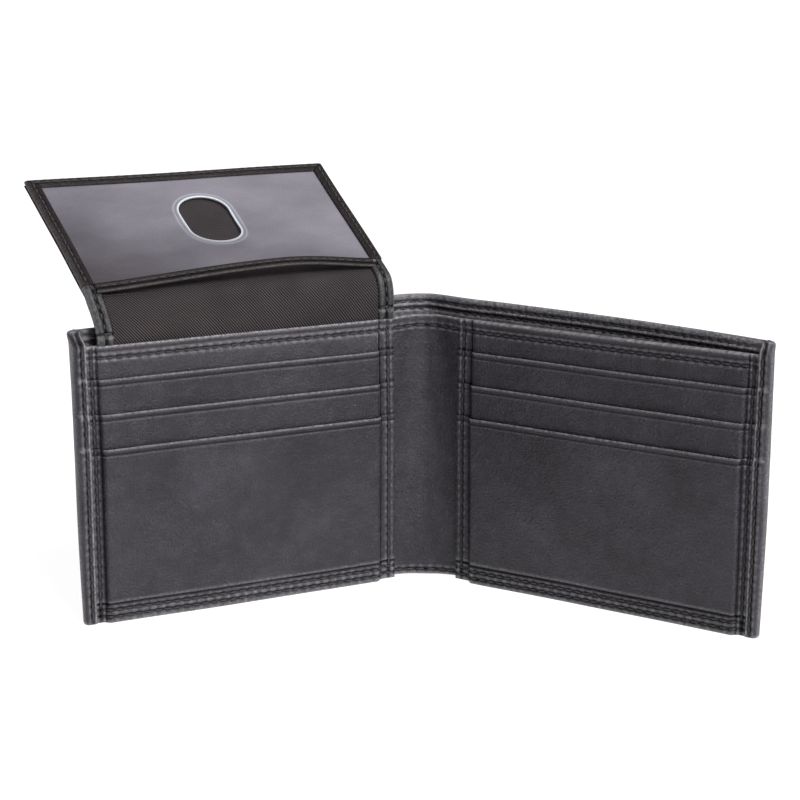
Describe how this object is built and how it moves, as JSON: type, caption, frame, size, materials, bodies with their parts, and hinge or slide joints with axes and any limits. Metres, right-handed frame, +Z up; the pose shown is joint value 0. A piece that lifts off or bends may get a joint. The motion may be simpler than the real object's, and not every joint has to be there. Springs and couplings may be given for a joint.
{
  "type": "billfold wallet with flip-up id leaf",
  "caption": "Leather billfold wallet standing open on its edges, with card slots on both leaves, a bill compartment behind them and a flip-up ID window leaf.",
  "frame": {"origin": "middle of the spine shell's standing edge, on the surface that the wallet stands on", "axes": "+Z up; the inner faces look towards -Y; +X to the reader's right, so the flap is on the -X leaf"},
  "size_m": [0.2306, 0.1038, 0.1281],
  "materials": {
    "black_leather": "smooth, semi-matt, fine grain",
    "brown_leather": "smooth, semi-matt, very dark brown",
    "twill": "diagonal twill weave",
    "thin_lining": "thin plain lining",
    "thread": "bonded sewing thread",
    "clear_film": "clear glossy flexible film"
  },
  "bodies": {
    "spine": {"spine_shell": "black_leather", "spine_lining": "twill", "spine_strip": "black_leather", "spine_thread": "thread"},
    "left_leaf": {"left_shell": "black_leather", "left_side_wrap": "black_leather", "left_lining": "twill", "left_inner_wall": "black_leather", "left_panel_backing": "thin_lining", "left_header": "black_leather", "left_slot_upper": "black_leather", "left_slot_middle": "black_leather", "left_slot_front": "black_leather", "left_slot_upper_lining": "thin_lining", "left_slot_middle_lining": "thin_lining", "left_slot_front_lining": "thin_lining", "left_leaf_thread": "thread", "flap_anchor": "twill"},
    "right_leaf": {"right_shell": "black_leather", "right_side_wrap": "black_leather", "right_lining": "twill", "right_inner_wall": "black_leather", "right_panel_backing": "thin_lining", "right_header": "black_leather", "right_slot_upper": "black_leather", "right_slot_middle": "black_leather", "right_slot_front": "black_leather", "right_slot_upper_lining": "thin_lining", "right_slot_middle_lining": "thin_lining", "right_slot_front_lining": "thin_lining", "right_leaf_thread": "thread"},
    "flap_strip": {"strip_back": "black_leather", "strip_twill": "twill", "strip_binding_left": "black_leather", "strip_binding_right": "black_leather", "strip_thread": "thread"},
    "id_leaf": {"id_back": "black_leather", "id_lining": "twill", "id_window": "clear_film", "id_frame_far": "brown_leather", "id_frame_left": "brown_leather", "id_frame_right": "brown_leather", "id_mouth_binding": "brown_leather", "id_thread": "thread"}
  },
  "joints": [
    {"name": "left_fold", "type": "hinge", "parent": "spine", "child": "left_leaf", "pos_m": [-0.01, -0.00654, 0], "axis": [0, 0, 1], "range_deg": [-28, 63]},
    {"name": "right_fold", "type": "hinge", "parent": "spine", "child": "right_leaf", "pos_m": [0.01, -0.00654, 0], "axis": [0, 0, -1], "range_deg": [-28, 63]},
    {"name": "flap_hinge", "type": "hinge", "parent": "left_leaf", "child": "flap_strip", "pos_m": [-0.00907, -0.00956, 0.088], "axis": [-0.8829, -0.4695, 0], "range_deg": [-196, 15]},
    {"name": "flap_bend", "type": "hinge", "parent": "flap_strip", "child": "id_leaf", "pos_m": [-0.01267, -0.00281, 0.10089], "axis": [-0.8829, -0.4695, 0], "range_deg": [-48.1, 3.8]}
  ],
  "couplings": [
    {"joint": "right_fold", "follows": "left_fold", "ratio": 1},
    {"joint": "flap_bend", "follows": "flap_hinge", "ratio": 0.2449}
  ]
}
